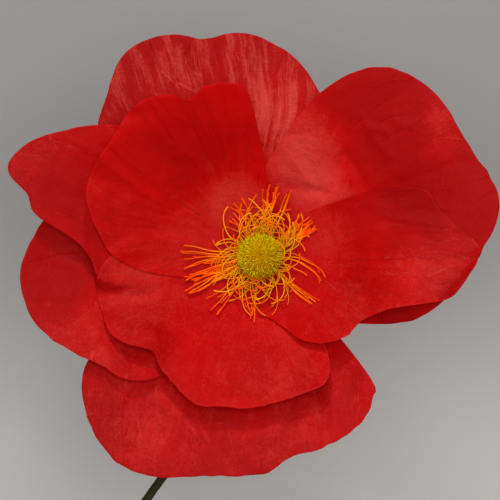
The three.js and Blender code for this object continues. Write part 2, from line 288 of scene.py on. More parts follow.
# The plain paper, a streaked copy for the top outer petal whose pale streaks are partly the paper's
# own and partly a painted sheen of the lamps, and a deeper, more saturated copy for the inner upper
# left petal, a painted shade for its leaning upper part.
petal_finish = paper("crepe_red", srgb(210, 8, 6), srgb(222, 66, 58), srgb(166, 2, 2), 0.18, 0.46)
streaked_sheen_finish = paper("crepe_red_streaked_sheen", srgb(189, 14, 12), srgb(214, 84, 72), srgb(160, 4, 4),
                    1.0, 0.46)
painted_shade_finish = paper("crepe_red_painted_shade", srgb(214, 4, 2), srgb(226, 54, 44), srgb(186, 2, 2),
                    0.3, 0.5)
print("paper finishes", petal_finish.name, streaked_sheen_finish.name, painted_shade_finish.name)

# %% [markdown]
# ## Petals
# A petal is one sheet of paper. Its outline is a radius for each angle round the flower's axis,
# and its height follows a bowl that all petals share, plus a lift for each petal it lies over.
# These are the measured model's own numbers, so each dressed petal lies in its solid's place. On
# top of that form come the things that hands do to paper: pleats, soft creases and an uneven cut.
#
# - pale_sheen_and_shade: (u, v, width, amount) of paler paper and painted sheen, or of painted
#   shade below 0
# - reach: (angle, radius) points of its outline, mid: its middle angle
# - layer: how many petals it lies over, sides: lift of its two sides, rim: lift of its rim
# - waves: (number in a full turn, height, phase), pleats: height of the pleats
# - folds: (u, v, u, v, height, width) of single folds, raised: (u, v, width, height) of bulges
# - rubbed: (u, v, width, amount) of paler and deeper places
# - laid: (angle, spread, share) of edges that rest on the sheet below

# %% Petal sizes
PAPER = 0.6
GLUE = 0.3
ROOT = 20
CLAW = 52
CUP_DEPTH, CUP_REACH, CUP_POWER = 76, 132, 1.6
LAYER_LIFT, LIFT_REACH = 11, 200
FREE_REACH = 190
RIM_FROM, RIM_TO = 110, 235
PITCH = PAPER + GLUE

PETALS = [
    dict(name="outer_petal_top", layer=0, slot="petal_paper_pale",
         reach=[(46, 96), (54, 132), (62, 150), (70, 166), (78, 187), (85, 201), (92, 211),
                (98, 214), (104, 213), (111, 226), (119, 233), (126, 229), (133, 213),
                (141, 199), (149, 178), (158, 140), (166, 92)],
         mid=100, sides=(4, 4), rim=-18, waves=[(7, 3.2, 20), (17, 1.6, 70)], pleats=1.3,
         folds=[(-20, 205, -10, 110, 1.6, 4), (22, 188, 6, 100, -1.4, 4),
                (-72, 208, -38, 140, 1.8, 5), (-112, 196, -70, 130, -1.6, 5)],
         pale_sheen_and_shade=[(15, 125, 48, 0.5), (-5, 190, 60, 0.15)]),
    dict(name="outer_petal_bottom", layer=0, slot="petal_paper",
         reach=[(203, 92), (207, 150), (211, 190), (216, 209), (223, 224), (230, 234),
                (237, 238), (246, 229), (256, 215), (265, 209), (272, 206), (278, 194),
                (286, 192), (295, 189), (303, 183), (309, 171), (312, 160), (315, 96)],
         mid=262, sides=(4, 4), rim=4, waves=[(6, 2.6, 0), (15, 1.2, 40)], pleats=0.8,
         folds=[(-120, -178, -78, -128, 1.3, 4), (66, -172, 50, -120, -1.4, 3),
                (-30, -200, -22, -150, 1.0, 5),
                (-126, -128, -60, -176, -2.2, 5), (-150, -150, -84, -196, 1.6, 6)],
         pale_sheen_and_shade=[(-105, -170, 46, 0.2), (40, -170, 40, 0.15)]),
    dict(name="outer_petal_right", layer=1, slot="petal_paper",
         reach=[(-50, 64), (-42, 86), (-35, 112), (-29, 134), (-23, 157), (-17, 172),
                (-10, 186), (-4, 199), (3, 213), (8, 225), (14, 232), (20, 229), (26, 224),
                (32, 223), (38, 225), (44, 226), (50, 222), (56, 215), (62, 199), (68, 174),
                (74, 142), (80, 109), (88, 84), (98, 66)],
         mid=22, sides=(7, 7), rim=6, waves=[(5, 2.4, 60), (13, 1.1, 10)], pleats=0.6,
         folds=[(34, 118, 60, 60, -1.4, 4), (70, 170, 62, 96, 1.2, 6), (190, 90, 110, 62, -1.3, 5),
                (28, 66, 64, 60, -6, 4), (44, 44, 62, 62, 4, 4), (30, 92, 48, 70, 3, 3),
                (84, 96, 104, 60, -2.0, 5), (96, 132, 120, 96, 1.6, 5)],
         pale_sheen_and_shade=[(40, 100, 38, 1.05), (62, 60, 30, 0.8), (165, 120, 36, 0.3), (115, 145, 50, -0.7),
                 (195, 60, 50, -0.7), (162, 134, 18, 0.2), (171, 92, 20, 0.2),
                 (108, 84, 42, -0.5), (130, -58, 26, -0.8)]),
    dict(name="outer_petal_lower_left", layer=1, slot="petal_paper",
         reach=[(152, 88), (158, 150), (164, 190), (171, 208), (178, 220), (185, 227),
                (193, 225), (200, 215), (207, 199), (214, 183), (221, 175), (228, 158),
                (234, 130), (240, 84)],
         mid=196, sides=(8, 8), rim=9, waves=[(7, 2.4, 30), (16, 1.2, 0)], pleats=0.8,
         folds=[(-212, -8, -130, -28, 1.6, 4), (-205, -44, -130, -46, -1.6, 4),
                (-178, -76, -122, -62, 1.4, 4)],
         pale_sheen_and_shade=[(-196, 4, 34, -1.3), (-165, -90, 36, 0.25)],
         raised=[(-200, 14, 40, -14)]),
    dict(name="outer_petal_upper_left", layer=2, slot="petal_paper",
         reach=[(118, 82), (126, 128), (134, 170), (141, 196), (147, 218), (153, 240),
                (159, 252), (162, 248), (165, 227), (169, 217), (175, 176), (181, 160),
                (188, 152), (194, 118), (200, 80)],
         mid=156, sides=(9, 7), rim=8, waves=[(8, 2.6, 90), (18, 1.2, 20)], pleats=0.8,
         folds=[(-232, 86, -165, 66, 1.5, 4), (-200, 58, -160, 50, -1.3, 4),
                (-180, 110, -140, 92, 1.2, 4)],
         pale_sheen_and_shade=[(-205, 96, 40, 0.15), (-150, 60, 50, -0.5)]),
    dict(name="inner_petal_bottom", layer=3.3, slot="petal_paper",
         reach=[(166, 74), (174, 118), (182, 147), (191, 158), (200, 159), (208, 159),
                (215, 147), (222, 136), (229, 142), (238, 147), (247, 153), (256, 147),
                (267, 144), (277, 139), (287, 136), (297, 135), (302, 126), (308, 98),
                (314, 70)],
         mid=242, sides=(4, 5), rim=-4, waves=[(6, 2, 50), (14, 1.1, 0)], pleats=0.9,
         folds=[(-60, -60, -62, -138, 1.0, 5), (24, -66, 52, -118, -1.3, 4),
                (-110, -30, -150, -44, 1.4, 4)],
         pale_sheen_and_shade=[(-110, -26, 34, 0.35), (20, -110, 50, 0.2)], laid=[(191, 16, 1.4)],
         raised=[(-112, -84, 26, 10)]),
    dict(name="inner_petal_upper_left", layer=4.3, slot="petal_paper_deep",
         reach=[(76, 62), (84, 74), (90, 112), (94, 153), (100, 165), (108, 167), (114, 162),
                (120, 175), (127, 183), (133, 182), (142, 178), (152, 178), (160, 175),
                (167, 164), (174, 151), (181, 136), (187, 113), (192, 90), (198, 66)],
         mid=134, sides=(0, 4), rim=7, waves=[(7, 2.2, 10), (17, 1.3, 60)], pleats=2.0,
         folds=[(-162, 71, -121, 43, -2.0, 3), (-163, 50, -144, 42, 1.6, 3),
                (-68, 32, -40, 12, 2.6, 4), (-24, 150, -8, 66, -1.5, 4),
                (-46, 158, -26, 76, 1.3, 4), (-66, 146, -46, 84, -1.2, 4),
                (-13, 146, -6, 90, -1.5, 2), (-34, 156, -20, 90, -1.7, 2),
                (-55, 150, -36, 88, -1.6, 2)],
         pale_sheen_and_shade=[(-22, 50, 27, 0.8, 3), (-28, 56, 34, 0.35), (-70, 14, 40, 0.5),
                 (-90, 90, 60, -0.3), (-19, 152, 40, -0.3), (-84, 138, 36, -0.2)],
         laid=[(174, 32, 1.5)]),
    dict(name="inner_petal_right", layer=4.1, slot="petal_paper",
         reach=[(-92, 58), (-82, 60), (-72, 72), (-62, 92), (-52, 104), (-42, 112), (-32, 115),
                (-22, 133), (-17, 156), (-13, 181), (-6, 196), (1, 207), (4, 203), (9, 187),
                (15, 175), (21, 170), (26, 150), (30, 126), (34, 96), (42, 64)],
         mid=-18, sides=(8, 0), rim=-8, waves=[(6, 2.2, 0), (15, 1.1, 80)], pleats=0.9,
         folds=[(62, -6, 194, -2, -2.4, 3), (62, -20, 190, -24, 2.2, 3),
                (118, 33, 186, 22, -2.4, 2.5), (108, 24, 176, 13, 1.8, 3),
                (80, 12, 150, 20, 1.2, 4), (60, -34, 150, -42, -1.8, 3),
                (70, -52, 120, -66, 1.6, 3)],
         pale_sheen_and_shade=[(150, -14, 34, 0.25), (90, -60, 30, 0.2), (120, 48, 40, -0.7),
                 (66, 22, 26, 0.4)],
         laid=[(12, 22, 0.85)],
         raised=[(34, -80, 24, 8), (62, -98, 30, 16), (132, -46, 34, 11)]),
]
print("petals", len(PETALS))

# %% Petal form


def smooth(low, high, value):
    """0 below low, 1 above high, and an even S curve between them."""
    t = np.clip((value - low) / (high - low), 0, 1)
    return t * t * (3 - 2 * t)


def reach_at(reach, angles):
    """Radius of an outline at each angle, on a smooth curve through the reach points."""
    a, r = np.array(reach, float).T
    slope = np.empty_like(r)
    slope[1:-1] = (r[2:] - r[:-2]) / (a[2:] - a[:-2])
    slope[0] = (r[1] - r[0]) / (a[1] - a[0])
    slope[-1] = (r[-1] - r[-2]) / (a[-1] - a[-2])
    i = np.clip(np.searchsorted(a, angles, side="right") - 1, 0, len(a) - 2)
    span = a[i + 1] - a[i]
    t = (angles - a[i]) / span
    return ((2 * t**3 - 3 * t**2 + 1) * r[i] + (t**3 - 2 * t**2 + t) * span * slope[i]
            + (3 * t**2 - 2 * t**3) * r[i + 1] + (t**3 - t**2) * span * slope[i + 1])


def bowl(radius):
    """Height of the bowl that all petals share."""
    cup = np.maximum(radius - ROOT, 0) / CUP_REACH
    return CUP_DEPTH * (1 - np.exp(-(cup**CUP_POWER)))


def petal_height(petal, index, angle, radius):
    """Height of a petal's back face, the same sum as in the measured model."""
    out = smooth(ROOT, LIFT_REACH, radius)
    free = smooth(CLAW, FREE_REACH, radius)
    turn = np.radians(angle - petal["mid"])
    across = 1 - np.cos(np.clip(turn, -1.4, 1.4))
    along = np.cos(np.clip(turn, -1.2, 1.2))
    height = index * PITCH + bowl(radius)
    height = height + petal["layer"] * LAYER_LIFT * out
    height = height + np.where(turn < 0, *petal["sides"]) * across * free * 2
    height = height + petal["rim"] * along * smooth(RIM_FROM, RIM_TO, radius)
    for count, size, phase in petal["waves"]:
        height = height + size * free * np.sin(np.radians(count * angle + phase))
    return height


print("inner petals stand", round(float(petal_height(PETALS[6], 6, 134.0, 170.0)), 1), "mm forward")

# %% [markdown]
# ## Wrinkles
# Paper wrinkles in two ways. Pleats run with the grain from root to rim, and creases wander where
# the sheet was handled. Both come from one smooth random field: read with long cells along the
# grain it gives pleats, and its sharp valleys give creases. Each reading divides places by the
# size of its cells in millimetres and has its own offset and seed, so no two petals are alike.

# %% Random field
FIELD = 64
FAN_WIDTH = 170


def random_field(x, y, seed):
    """Smooth random numbers from -1 to 1 over a plane, with cells one unit wide."""
    table = np.random.default_rng(seed).uniform(-1, 1, (FIELD, FIELD))
    xi, yi = np.floor(x).astype(int), np.floor(y).astype(int)
    xf, yf = x - xi, y - yi
    xs, ys = xf * xf * (3 - 2 * xf), yf * yf * (3 - 2 * yf)
    corner = [table[(xi + i) % FIELD, (yi + j) % FIELD] for i in (0, 1) for j in (0, 1)]
    low = corner[0] + (corner[1] - corner[0]) * ys
    high = corner[2] + (corner[3] - corner[2]) * ys
    return low + (high - low) * xs


def grain_across(petal, angle, radius):
    """Millimetres across the grain: fanned out at the root, nearly straight towards the rim."""
    turn = np.radians(angle - petal["mid"])
    straight = 0.7 * smooth(60, FREE_REACH, radius)
    return (1 - straight) * FAN_WIDTH * turn + straight * radius * np.sin(np.clip(turn, -1.5, 1.5))


def creases(x, y, seed):
    """Narrow valleys and ridges: 0 on flat paper, 1 at the bottom of a crease."""
    sharp = 1 - np.abs(random_field(x, y, seed)) * 3.2
    return np.clip(sharp, 0, 1) ** 2


def wrinkles(petal, index, angle, radius):
    """What hands have done to the sheet, in millimetres, and nothing near the root."""
    x = radius * np.cos(np.radians(angle))
    y = radius * np.sin(np.radians(angle))
    loose = smooth(CLAW * 0.7, 130, radius)
    across = grain_across(petal, angle, radius)
    pleat = random_field(across / 9 + 20, radius / 140 + 7, 11 + index)
    fine = random_field(across / 4 + 30, radius / 90 + 3, 31 + index)
    handled = creases(x / 36 + 9, y / 36 + 5, 51 + index) * random_field(x / 60, y / 60, 71 + index)
    nicks = creases(x / 15 + 3, y / 17 + 8, 61 + index) * random_field(x / 24, y / 24, 81 + index)
    crumple = random_field(x / 24, y / 24, 91 + index)
    height = petal["pleats"] * (0.8 * pleat + 0.35 * fine)
    height = height + 2.2 * handled + 1.1 * nicks + 0.8 * crumple
    for u0, v0, u1, v1, depth, width in petal["folds"]:
        height = height + depth * fold(x, y, u0, v0, u1, v1, width)
    for u0, v0, wide, lift in petal.get("raised", []):
        height = height + lift * spot(x, y, u0, v0, wide)
    return loose * height


def spot(x, y, u0, v0, wide, sharp=1):
    """1 at a place, fading over its width, more suddenly where sharp is larger."""
    return np.exp(-(((x - u0) ** 2 + (y - v0) ** 2) / wide**2) ** sharp)


def fold(x, y, u0, v0, u1, v1, width):
    """1 on the line from one point to the other, fading over its width and past its ends."""
    along_x, along_y = u1 - u0, v1 - v0
    length = math.hypot(along_x, along_y)
    t = np.clip(((x - u0) * along_x + (y - v0) * along_y) / length**2, 0, 1)
    away = np.hypot(x - u0 - t * along_x, y - v0 - t * along_y)
    return np.exp(-np.abs(away / width) ** 1.3)


print("field sample", round(float(random_field(np.array(2.3), np.array(4.1), 3)), 3))

# %% [markdown]
# ## Sheets that rest on each other
# A loose edge of paper sinks until it rests on the sheet below. To find how far it may sink, the
# heap of petals is built up in order over a square grid of places. Each petal's drop is the room
# that it has over the heap, taken near its rim only, where its list says that it is laid down. The
# drop is shrunk and then blurred, so it is smooth and nowhere more than the room there is. Each
# petal counts as one cell wider than it is, so that no sheet cuts through the edge of another.

# %% Drop maps
CELL = 3.0
CELLS = 90
REST_REACH = 110
REST_CLEAR = 0.5
REST_MOST = 27
NO_SHEET = -1000.0


def spread_out(grid, pick, times):
    """Filters a grid: each cell takes the pick of itself and its eight neighbours."""
    for _ in range(times):
        wide = np.pad(grid, 1, mode="edge")
        parts = [wide[i:i + grid.shape[0], j:j + grid.shape[1]] for i in range(3) for j in range(3)]
        grid = pick(parts, axis=0)
    return grid


def drop_maps():
    """How far each petal sinks at each cell of the grid, in millimetres."""
    steps = np.arange(-CELLS, CELLS + 1) * CELL
    u, v = np.meshgrid(steps, steps, indexing="ij")
    radius = np.hypot(u, v)
    heap = np.full(u.shape, NO_SHEET)
    maps = []
    for index, petal in enumerate(PETALS):
        first, last = petal["reach"][0][0], petal["reach"][-1][0]
        middle = (first + last) / 2
        angle = (np.degrees(np.arctan2(v, u)) - middle + 180) % 360 + middle - 180
        rim = reach_at(petal["reach"], np.clip(angle, first, last))
        height = petal_height(petal, index, angle, radius) - bowl(radius)
        height = height + wrinkles(petal, index, angle, radius)
        room = np.clip(height - heap - PAPER - REST_CLEAR, 0, REST_MOST)
        share = sum(part * np.exp(-(((angle - at) / wide) ** 2))
                    for at, wide, part in petal.get("laid", []))
        drop = np.minimum(share, 1) * room * (1 - smooth(0, REST_REACH, rim - radius))
        drop = spread_out(spread_out(drop * (heap > NO_SHEET), np.min, 1), np.mean, 1)
        inside = (angle >= first) & (angle <= last) & (radius <= rim + CELL)
        heap = np.where(inside, np.maximum(heap, height - drop), heap)
        maps.append(drop)
    return maps


def drop_at(grid, u, v):
    """A drop map read at any places, evenly between its cells."""
    x, y = np.asarray(u) / CELL + CELLS, np.asarray(v) / CELL + CELLS
    xi, yi = np.floor(x).astype(int), np.floor(y).astype(int)
    xf, yf = x - xi, y - yi
    return ((grid[xi, yi] * (1 - yf) + grid[xi, yi + 1] * yf) * (1 - xf)
            + (grid[xi + 1, yi] * (1 - yf) + grid[xi + 1, yi + 1] * yf) * xf)


DROPS = drop_maps()
print("deepest drops", [round(float(grid.max()), 1) for grid in DROPS])

# %% [markdown]
# ## From numbers to a sheet
# A petal's mesh is made of rings from its root to its rim and of fans across them, once for its
# back and once for its front. A last narrow ring at the rim is thinner, so that the cut edge looks
# sharp, and the cut itself wanders a little. SHEET_APART moves each petal to its own place in the
# grain's pattern.

# %% Petal mesh
FAN_STEP = 0.9
RING_STEP = 3.2
CLAW_RINGS, ROOT_SIDES = 8, 12
SHEET_APART = 211
RIM_BEVEL = 0.4
RIM_PAPER = 0.3
CUT_UNEVEN = 0.7


def petal_mesh(petal, index):
    """Closed sheet: a flat round root and a fan-shaped blade, with both faces and a cut edge."""
    first, last = petal["reach"][0][0], petal["reach"][-1][0]
    steps = int(round((last - first) / FAN_STEP))
    fan = np.linspace(first, last, steps + 1)
    rim = reach_at(petal["reach"], fan)
    rim = rim + CUT_UNEVEN * random_field(fan / 2.3, fan * 0 + 5, 111 + index)
    rim = np.maximum(rim, CLAW + 4)
    rings = int(math.ceil((rim.max() - CLAW) / RING_STEP))
    radii = [np.full(steps + 1, r) for r in np.linspace(ROOT, CLAW, CLAW_RINGS)]
    radii += [CLAW + (rim - CLAW) * k / rings for k in range(1, rings)]
    radii += [rim - RIM_BEVEL, rim]
    radius = np.array(radii)
    angle = np.broadcast_to(fan, radius.shape)

    # The root's disc: its middle, and the part of its edge where no blade leaves it.
    rest = np.linspace(last, first + 360, ROOT_SIDES + 2)[1:-1]
    root_angles = np.concatenate([[0.0], rest])
    root_radii = np.concatenate([[0.0], np.full(len(rest), float(ROOT))])
    all_angles = np.concatenate([angle.ravel(), root_angles])
    all_radii = np.concatenate([radius.ravel(), root_radii])

    # The back face's points, and the front face's, which stand a sheet's thickness above them.
    w = petal_height(petal, index, all_angles, all_radii)
    w = w + wrinkles(petal, index, all_angles, all_radii)
    u = all_radii * np.cos(np.radians(all_angles))
    v = all_radii * np.sin(np.radians(all_angles))
    w = w - drop_at(DROPS[index], u, v)
    back = np.stack([u, v, w], 1)
    count = len(back)
    rows, columns = radius.shape
    thickness = np.full(count, PAPER)
    thickness[(rows - 1) * columns:rows * columns] = RIM_PAPER
    front = back + np.stack([u * 0, u * 0, thickness], 1)

    # Faces of both sides, of the root's disc, and of the cut edge all round.
    number = np.arange(rows * columns).reshape(rows, columns)
    quads = np.stack([number[:-1, :-1], number[1:, :-1], number[1:, 1:], number[:-1, 1:]], -1)
    faces = [tuple(q + count) for q in quads.reshape(-1, 4)]
    faces += [tuple(q[::-1]) for q in quads.reshape(-1, 4)]
    centre = rows * columns
    ring = [*number[0], *range(centre + 1, centre + 1 + len(rest))]
    for a, b in zip(ring, ring[1:] + ring[:1]):
        faces += [(centre + count, a + count, b + count), (centre, b, a)]
    loop = [*number[:, 0], *number[-1, 1:], *number[-2::-1, -1]]
    loop += ring[columns:]
    for a, b in zip(loop, loop[1:] + loop[:1]):
        faces.append((a, b, b + count, a + count))

    # The mesh and the two attributes that its finish reads.
    mesh = bpy.data.meshes.new(petal["name"])
    mesh.from_pydata(head_points(np.concatenate([back, front])).tolist(), [], faces)
    across = grain_across(petal, all_angles, all_radii)
    grain = np.stack([across + index * SHEET_APART, all_radii, u * 0], 1)
    attribute = mesh.attributes.new("grain", "FLOAT_VECTOR", "POINT")
    attribute.data.foreach_set("vector", np.tile(grain, (2, 1)).astype(np.float32).ravel())
    # Painted light: each listed spot makes the paper paler, as paler paper and painted sheen, or
    # deeper below 0, as painted shade.
    pale_sheen_and_shade = sum(amount * spot(u, v, u0, v0, wide, *sharp)
                 for u0, v0, wide, amount, *sharp in petal["pale_sheen_and_shade"])
    patch = mesh.attributes.new("pale_sheen_and_shade", "FLOAT", "POINT")
    patch.data.foreach_set("value", np.tile(pale_sheen_and_shade, 2).astype(np.float32))
    mesh.shade_smooth()
    return mesh


FINISHES = {
    "petal_paper": petal_finish, "petal_paper_pale": streaked_sheen_finish,
    "petal_paper_deep": painted_shade_finish,
}


def add_piece(name, mesh, finish, slot, *nodes):
    """Links a finished mesh, rides it on the one body and hides the solids that it stands for."""
    piece = bpy.data.objects.new(name, mesh)
    bpy.context.collection.objects.link(piece)
    piece.data.materials.clear()
    piece.data.materials.append(finish)
    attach(piece, "root")
    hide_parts(*nodes)
    return piece


for order, petal in enumerate(PETALS):
    sheet = petal_mesh(petal, order)
    name = petal["name"] + "_crepe"
    add_piece(name, sheet, FINISHES[petal["slot"]], petal["slot"], petal["name"])
    print(name, len(sheet.polygons), "faces")

# %% [markdown]
# ## A tree for strands
# The stamens are strips of crepe paper, twisted between the fingers into threads. Each thread is
# a path in space, and a Geometry Nodes tree turns a mesh of such paths into threads: it makes
# curves and sweeps a small section along them, as thick at each point as the paths' attribute
# thick says. It keeps the place along each thread as an attribute, which the finish turns into
# colour together with the paths' attribute tint.

# %% Strand tree


def strand_tree():
    """Paths in, threads out. Inputs: section radius, section sides and finish."""
    tree = bpy.data.node_groups.new("paper_strands", "GeometryNodeTree")
    face = tree.interface
    face.new_socket("Geometry", in_out="INPUT", socket_type="NodeSocketGeometry")
    for label, kind in (("Radius", "Float"), ("Sides", "Int"), ("Finish", "Material")):
        face.new_socket(label, in_out="INPUT", socket_type="NodeSocket" + kind)
    face.new_socket("Geometry", in_out="OUTPUT", socket_type="NodeSocketGeometry")
    nodes, links = tree.nodes, tree.links
    start, end = nodes.new("NodeGroupInput"), nodes.new("NodeGroupOutput")
    curves = nodes.new("GeometryNodeMeshToCurve")
    along = nodes.new("GeometryNodeSplineParameter")
    thick = nodes.new("GeometryNodeInputNamedAttribute")
    keep = nodes.new("GeometryNodeStoreNamedAttribute")
    section = nodes.new("GeometryNodeCurvePrimitiveCircle")
    sweep = nodes.new("GeometryNodeCurveToMesh")
    smooth_faces = nodes.new("GeometryNodeSetShadeSmooth")
    real = nodes.new("GeometryNodeRealizeInstances")
    dress = nodes.new("GeometryNodeSetMaterial")
    keep.data_type, keep.domain = "FLOAT", "POINT"
    keep.inputs["Name"].default_value = "along"
    thick.data_type = "FLOAT"
    thick.inputs["Name"].default_value = "thick"
    links.new(start.outputs["Geometry"], curves.inputs[0])
    links.new(curves.outputs[0], keep.inputs["Geometry"])
    links.new(along.outputs["Factor"], keep.inputs["Value"])
    links.new(start.outputs["Sides"], section.inputs["Resolution"])
    links.new(start.outputs["Radius"], section.inputs["Radius"])
    links.new(keep.outputs[0], sweep.inputs["Curve"])
    links.new(section.outputs[0], sweep.inputs["Profile Curve"])
    links.new(thick.outputs["Attribute"], sweep.inputs["Scale"])
    sweep.inputs["Fill Caps"].default_value = True
    links.new(sweep.outputs[0], smooth_faces.inputs["Geometry"])
    links.new(smooth_faces.outputs[0], real.inputs[0])
    links.new(real.outputs[0], dress.inputs["Geometry"])
    links.new(start.outputs["Finish"], dress.inputs["Material"])
    links.new(dress.outputs[0], end.inputs[0])
    return tree


STRANDS = strand_tree()
print("strand tree nodes", len(STRANDS.nodes))


def grown(source, tree, values, name):
    """Runs a tree on a mesh with its named inputs set, and gives back a plain mesh."""
    holder = bpy.data.objects.new(name + "_paths", source)
    bpy.context.collection.objects.link(holder)
    modifier = holder.modifiers.new(tree.name, "NODES")
    modifier.node_group = tree
    for item in tree.interface.items_tree:
        if item.item_type == "SOCKET" and item.in_out == "INPUT" and item.name in values:
            modifier[item.identifier] = values[item.name]
    evaluated = holder.evaluated_get(bpy.context.evaluated_depsgraph_get())
    mesh = bpy.data.meshes.new_from_object(evaluated)
    mesh.name = name
    holder.modifiers.remove(modifier)
    bpy.data.objects.remove(holder)
    return mesh


# %% [markdown]
# ## Finishes of the tuft
# The threads shade from yellow at the root to strong orange at the tip. The pod's fringe goes the
# other way, from dark olive at the root to bright yellow-green ends, and its hairs are painted
# lighter on the side of the ball that faces the lamps and darker, as painted shade, away from them.

# %% Tuft finishes


def thread_paper(name, stops, mottled):
    """Twisted crepe: a colour along each thread, mottled, with a fine twist in the surface."""
    f = Finish(name)
    along = f.node("Attribute", {"attribute_name": "along"}, out=2)
    place = f.node("TexCoord", out=3)
    mottle = f.noise(place, 160.0, 3.0, 0.6)
    tint = f.node("Attribute", {"attribute_name": "tint"}, out=2)
    colour = f.ramp(along + tint + (mottle - 0.5) * mottled, stops)
    bump = f.node("Bump", Strength=0.5, Distance=0.0004, Height=f.noise(place, 900.0, 2.0, 0.6))
    return f.end(f.node("BsdfPrincipled", Base_Color=colour, Roughness=0.7, Normal=bump,
                        Specular_IOR_Level=0.0))


stamen_finish = thread_paper("stamen_crepe", [
    (0.0, srgb(204, 152, 6)), (0.35, srgb(224, 140, 10)), (0.7, srgb(230, 102, 8)),
    (1.0, srgb(222, 66, 6))], 0.5)
pod_finish = thread_paper("pod_crepe", [
    (0.0, srgb(158, 100, 2)), (0.5, srgb(182, 152, 2)), (1.0, srgb(206, 186, 6))], 0.3)
print("tuft finishes", stamen_finish.name, pod_finish.name)

# %% [markdown]
# ## Stamens
# The threads leave three bands round the pod's neck. Most of them curl freely, and the ones
# nearest the pod bend over in loops. Others hang together in tufts: two on the left, one at the
# top, and a few more round the flower. A path grows step by step: its direction turns and droops
# a little each time, and it never sinks into the petals. The random draws are seeded.
#
# In a row, length, up and bend are the least and the most of each loose thread's length in
# millimetres, its rise in degrees and its bend in radians. gaps are (angle, half-width) of places
# without loose threads, and tufts are (angle, spread, count, length, thickness, bend).

# %% Stamen rows
TUFT_BASE = 7 * PITCH + PAPER + GLUE
NECK = 11
BAND = 1.2
BAND_TOP, BAND_STEP = 3, 2.4
THREAD_SINK = 0.6
THREAD_CLEAR = 2.2
LOWEST_PITCH = -0.7
THREAD_RADIUS = 0.78 * MM
THREAD_STEPS = 16
ROWS = [
    dict(node="stamen_fringe_outer", place=2, count=46, length=(30, 46), up=(14, 36),
         bend=(0.6, 2.0), seed=5, gaps=[(190, 7), (168, 8), (-10, 13), (-62, 9)],
         tufts=[(181, 9, 8, 62, 0.85, 0.1), (202, 14, 13, 63, 1.05, 0), (77, 9, 8, 55, 1.15, 0),
                (61, 7, 3, 56, 1.1, 0.1), (25, 16, 12, 47, 1.15, 0.2), (-44, 8, 5, 60, 1.0, 0),
                (-2, 12, 3, 62, 0.7, -1.0), (-98, 10, 5, 50, 0.85, 0.3),
                (232, 12, 6, 55, 0.85, -0.2)]),
    dict(node="stamen_fringe_middle", place=1, count=52, length=(34, 56), up=(26, 50),
         bend=(1.1, 2.8), seed=6, gaps=[(190, 5), (-12, 12)],
         tufts=[(196, 16, 5, 54, 0.8, 0), (-8, 10, 2, 58, 0.65, -1.2), (104, 16, 5, 46, 0.9, 0.6),
                (33, 12, 6, 48, 0.95, 0.2)]),
    dict(node="stamen_fringe_inner", place=0, count=56, length=(26, 46), up=(40, 68),
         bend=(1.4, 3.4), seed=7, gaps=[], tufts=[(120, 30, 5, 38, 0.8, 0.8)]),
]


def petal_top(radius):
    """Front face of the last petal along its middle, which is above all others near the pod."""
    last = len(PETALS) - 1
    return petal_height(PETALS[last], last, PETALS[last]["mid"], radius) + PAPER


def grow_thread(rng, start, angle, length, up, bend):
    """One thread's points: it bends sideways, droops to its tip and stays over the petals."""
    step = length / THREAD_STEPS
    heading = math.radians(angle)
    pitch = math.radians(up)
    droop = rng.uniform(0.5, 1.1) / THREAD_STEPS
    wave, phase = rng.uniform(0.02, 0.12), rng.uniform(0, 2 * math.pi)
    points = [np.array(start, float)]
    for k in range(THREAD_STEPS):
        heading += bend / THREAD_STEPS * (0.4 + 1.2 * k / THREAD_STEPS)
        heading += wave * math.sin(phase + k * 0.8)
        pitch = max(pitch - droop, LOWEST_PITCH)
        flat = math.cos(pitch) * step
        there = points[-1] + (flat * math.cos(heading), flat * math.sin(heading),
                              step * math.sin(pitch))
        floor = float(petal_top(math.hypot(there[0], there[1]))) + THREAD_CLEAR
        there[2] = max(there[2], floor)
        points.append(there)
    return points


def paths_mesh(name, paths):
    """A mesh of open paths from (points, thickness at each point, tint) of each thread."""
    mesh = bpy.data.meshes.new(name)
    edges, start = [], 0
    for points, _, _ in paths:
        edges += [(start + k, start + k + 1) for k in range(len(points) - 1)]
        start += len(points)
    every = head_points([point for points, _, _ in paths for point in points])
    mesh.from_pydata(every.tolist(), edges, [])
    values = {"thick": [share for _, shares, _ in paths for share in shares],
              "tint": [tint for points, _, tint in paths for _ in points]}
    for key, numbers in values.items():
        mesh.attributes.new(key, "FLOAT", "POINT").data.foreach_set("value", numbers)
    return mesh


